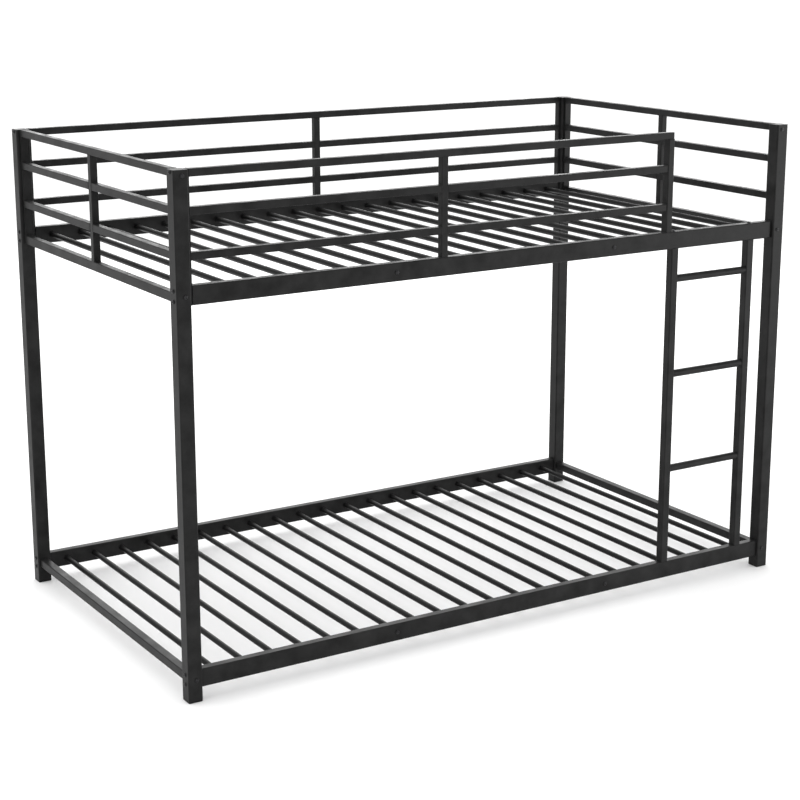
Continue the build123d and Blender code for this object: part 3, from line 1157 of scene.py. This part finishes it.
@dataclass
class Fasteners:
    """All screws, and the threaded blocks and plugs that they go into."""

    shop: Workshop
    head_thick: float = 3.0 * MM
    shank_radius: float = 3.0 * MM
    seed: int = 5
    screws: tuple[str, ...] = (
        "side_rail_bolts", "guard_bolts", "end_panel_bolts", "end_rail_bolts", "tie_slat_bolts",
        "ladder_bolts")
    inserts: tuple[str, ...] = (
        "side_rail_nut_blocks", "end_rail_nut_blocks", "panel_nut_blocks", "tie_slat_plugs",
        "ladder_stile_plugs")

    def build(self) -> None:
        """Set the screws and dress the threaded pieces."""
        finish = self.shop.finishes.screw
        for number, node in enumerate(self.screws):
            solids = solids_of(node)
            axis = solids[0].along.value
            shape = ScrewShape(
                head_radius=solids[0].size[(axis + 1) % 3] / 2,
                head_thick=self.head_thick,
                shank_radius=self.shank_radius,
                shank_long=solids[0].size[axis] - self.head_thick,
            )
            master = put_in_scene(node + "_master", shape.mesh(node + "_master"))
            seats = [seat_and_aim(solid, self.head_thick) for solid in solids]
            mesh = grow(node, [seat for seat, _ in seats], [], self.shop.screws, {
                "Screw": master, "Seed": self.seed + number, "Material": finish,
            }, {"aim": ("FLOAT_VECTOR", [aim for _, aim in seats])})
            bpy.data.objects.remove(master)
            new_piece(mesh, node.replace("_bolts", "_socket_screws"), finish, Slot.FASTENER, [node])
        for node in self.inserts:
            dress(node, self.shop.finishes.zinc, Slot.INSERT)


# ---------------- studio


@dataclass(frozen=True)
class Softbox:
    """One rectangular area light."""

    name: str
    place: tuple[float, float, float]
    target: tuple[float, float, float]
    side: tuple[float, float]
    watts: float


@dataclass
class Studio:
    """Plain pale floor, soft light and the camera.

    The pale surround is brightest at the horizon and fades overhead, between two heights that are
    given as the sine of the angle above the horizon.
    """

    shop: Workshop
    floor_reach: float = 150.0
    horizon: float = 1.0
    zenith: float = 0.84
    fade_heights: tuple[float, float] = (0.15, 0.7)
    overcast: float = 1.25
    overcast_spread_deg: float = 75.0
    overcast_lean_deg: tuple[float, float] = (-12.0, -10.0)
    eye: tuple[float, float, float] = (-2.8174, -4.5141, 1.9352)
    heading_deg: float = 32.03
    dip_deg: float = 13.93
    lens_mm: float = 81.86
    sensor_mm: float = 36.0
    sight: float = 400.0
    shift: tuple[float, float] = (-0.0077, -0.0263)
    softboxes: tuple[Softbox, ...] = (
        Softbox("top_softbox", (-0.4, 0.6, 4.2), (0.0, 0.0, 0.0), (4.5, 3.5), 24.0),
        Softbox("left_softbox", (-4.5, 0.8, 2.4), (0.0, 0.0, 0.7), (2.5, 2.5), 6.0),
        Softbox("right_softbox", (4.2, -3.2, 1.0), (0.6, 0.0, 0.7), (2.0, 2.4), 60.0),
        Softbox("back_softbox", (3.0, 4.8, 2.3), (0.3, 0.0, 0.9), (6.5, 1.8), 110.0),
    )

    def light(self) -> None:
        """Fill the studio with an even pale light and a few large softboxes."""
        world = bpy.data.worlds.new("studio")
        bpy.context.scene.world = world
        world.use_nodes = True
        tree = world.node_tree
        look = add_node(tree, "ShaderNodeTexCoord")
        height = add_node(tree, "ShaderNodeSeparateXYZ", inputs={0: look.outputs["Generated"]})
        low, high = self.fade_heights
        glow = add_node(tree, "ShaderNodeMapRange", {"interpolation_type": "SMOOTHSTEP"}, {
            "Value": height.outputs["Z"], "From Min": low, "From Max": high,
            "To Min": self.horizon, "To Max": self.zenith})
        feed(tree, tree.nodes["Background"], {
            "Color": (1.0, 1.0, 1.0, 1.0), "Strength": glow.outputs["Result"]})
        ceiling = bpy.data.lights.new("lit_ceiling", "SUN")
        ceiling.energy = self.overcast
        ceiling.angle = math.radians(self.overcast_spread_deg)
        lean_x, lean_y = self.overcast_lean_deg
        overhead = put_in_scene("lit_ceiling", ceiling)
        overhead.rotation_euler = Euler((math.radians(lean_x), math.radians(lean_y), 0.0))
        for box in self.softboxes:
            lamp = bpy.data.lights.new(box.name, "AREA")
            lamp.shape = "RECTANGLE"
            lamp.size, lamp.size_y = box.side
            lamp.energy = box.watts
            holder = put_in_scene(box.name, lamp)
            holder.location = box.place
            aim = Vector(box.target) - Vector(box.place)
            holder.rotation_euler = aim.to_track_quat("-Z", "Y").to_euler()
            holder.visible_camera = False

    def lay_floor(self) -> None:
        """Lay the floor under the feet."""
        low, _ = CAD_BOX
        mesh = bpy.data.meshes.new("studio_floor")
        reach = self.floor_reach
        corners = [(reach * x, reach * y, low.z) for x, y in ((-1, -1), (1, -1), (1, 1), (-1, 1))]
        mesh.from_pydata(corners, [], [(0, 1, 2, 3)])
        mesh.materials.append(self.shop.finishes.floor)
        floor = put_in_scene("studio_floor", mesh)

    def aim_camera(self) -> None:
        """Stand the camera at the front left of the bed, at head height."""
        lens = bpy.data.cameras.new("camera")
        lens.lens = self.lens_mm
        lens.sensor_width = self.sensor_mm
        lens.shift_x, lens.shift_y = self.shift
        lens.clip_end = self.sight
        camera = put_in_scene("camera", lens)
        camera.location = self.eye
        tilt = math.radians(90 - self.dip_deg)
        camera.rotation_euler = Euler((tilt, 0.0, -math.radians(self.heading_deg)))
        bpy.context.scene.camera = camera

    def build(self) -> None:
        """Set up light, floor, camera and plain colour handling."""
        self.light()
        self.lay_floor()
        self.aim_camera()
        bpy.context.scene.view_settings.view_transform = "Standard"


def guard_panels(shop: Workshop) -> list[GuardPanel]:
    """List the four welded panels round the upper deck.

    Args:
        shop: the shared finishes and trees.

    Returns:
        Back guard, front guard, left panel and right panel.
    """
    heights = ("top", "second", "third")
    panels = [
        GuardPanel(shop, "back_guard", tuple(f"back_guard_{h}_rail" for h in heights),
                   ("back_guard_upright",), ("back_left_guard_strip", "back_right_guard_strip")),
        GuardPanel(shop, "front_guard", tuple(f"front_guard_{h}_rail" for h in heights),
                   ("front_guard_upright", "front_guard_end_upright"),
                   ("front_left_guard_strip", "front_right_guard_strip"), free_top_end=1),
    ]
    for end in ("left", "right"):
        rails = tuple(f"{end}_panel_{h}_rail" for h in (*heights, "bottom"))
        strips = (f"{end}_panel_front_strip", f"{end}_panel_back_strip")
        panels.append(GuardPanel(shop, f"{end}_panel", rails, (f"{end}_panel_upright",), strips))
    return panels


def main() -> None:
    """Build the bed's sub-assemblies in order, then the studio."""
    shop = Workshop()
    assemblies = [CornerPosts(shop), Deck(shop, "lower"), Deck(shop, "upper"), LowerEndRails(shop)]
    assemblies += guard_panels(shop)
    assemblies += [Ladder(shop), EndPlug(shop), Fasteners(shop), Studio(shop)]
    for assembly in assemblies:
        assembly.build()


if __name__ == "__main__":
    main()
